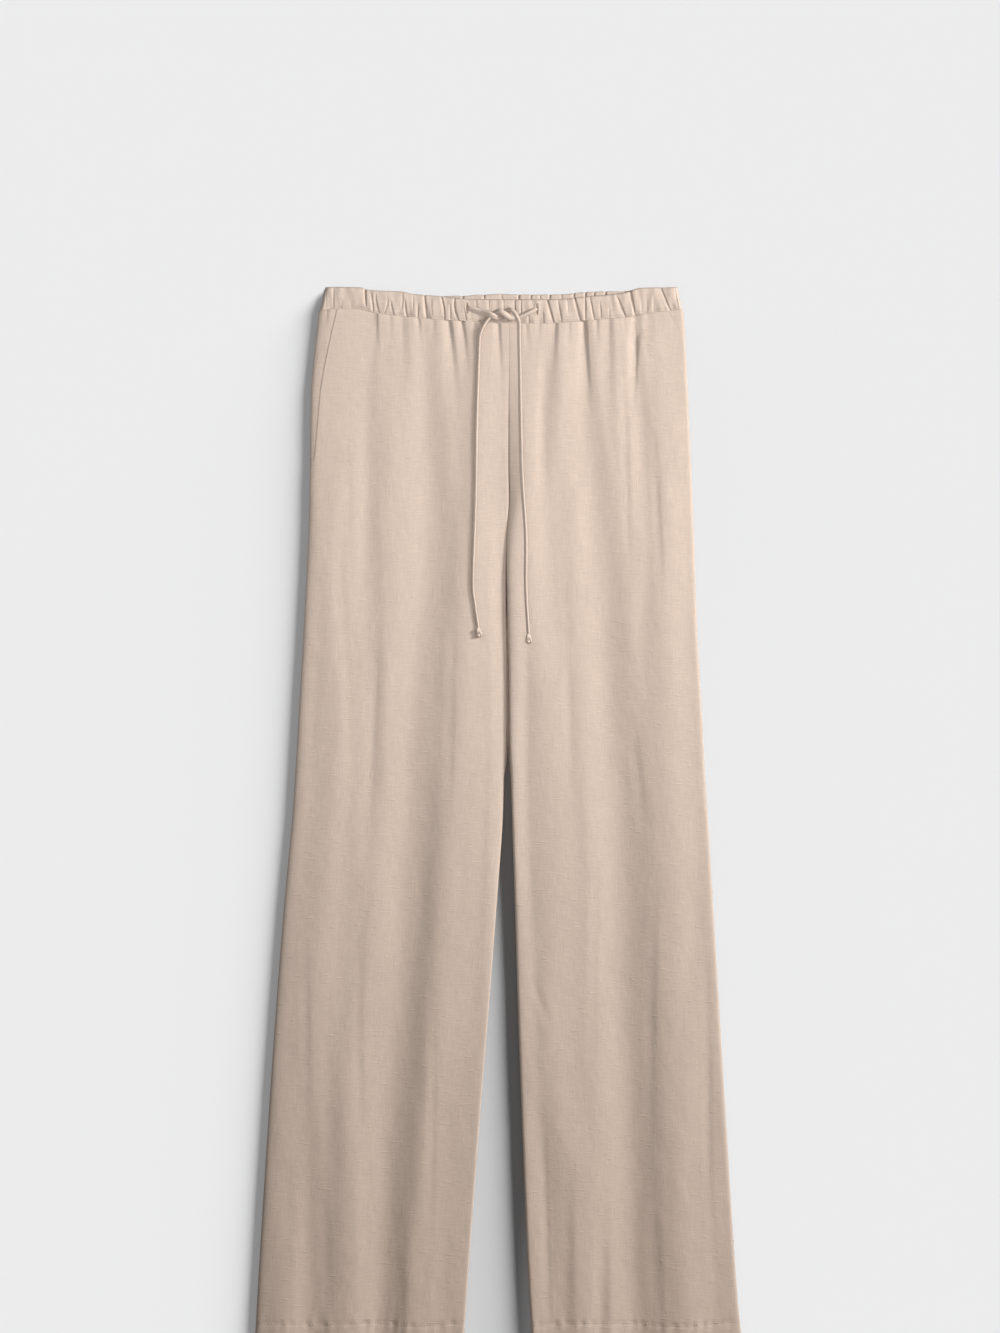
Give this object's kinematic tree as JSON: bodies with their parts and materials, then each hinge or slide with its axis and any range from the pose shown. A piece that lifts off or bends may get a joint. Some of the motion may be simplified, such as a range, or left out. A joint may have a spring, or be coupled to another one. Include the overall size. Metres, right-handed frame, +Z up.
{
  "type": "trousers",
  "caption": "Lightweight linen trousers with a gathered elastic waistband, a knotted drawstring and slanted side pockets, laid flat.",
  "frame": {"origin": "middle of the underside, on the surface that the trousers lie on", "axes": "+Y along the legs towards the waist, +X towards the wearer's left, +Z up off the surface, out of the front"},
  "size_m": [0.49, 1.0697, 0.0173],
  "materials": {
    "linen": "matt plain-weave linen, warm sand, with slubs",
    "waistband": "the same linen, gathered over elastic",
    "drawstring": "narrow folded and stitched cord of the same linen"
  },
  "bodies": {
    "root": {"front_leg_right": "linen", "front_leg_left": "linen", "back_leg_right": "linen", "back_leg_left": "linen", "pocket_bearing_right": "linen", "pocket_bearing_left": "linen", "waistband_front": "waistband", "waistband_back": "waistband", "drawstring_right": "drawstring", "drawstring_left": "drawstring", "tip_knot_right": "drawstring", "tip_knot_left": "drawstring"}
  },
  "joints": []
}
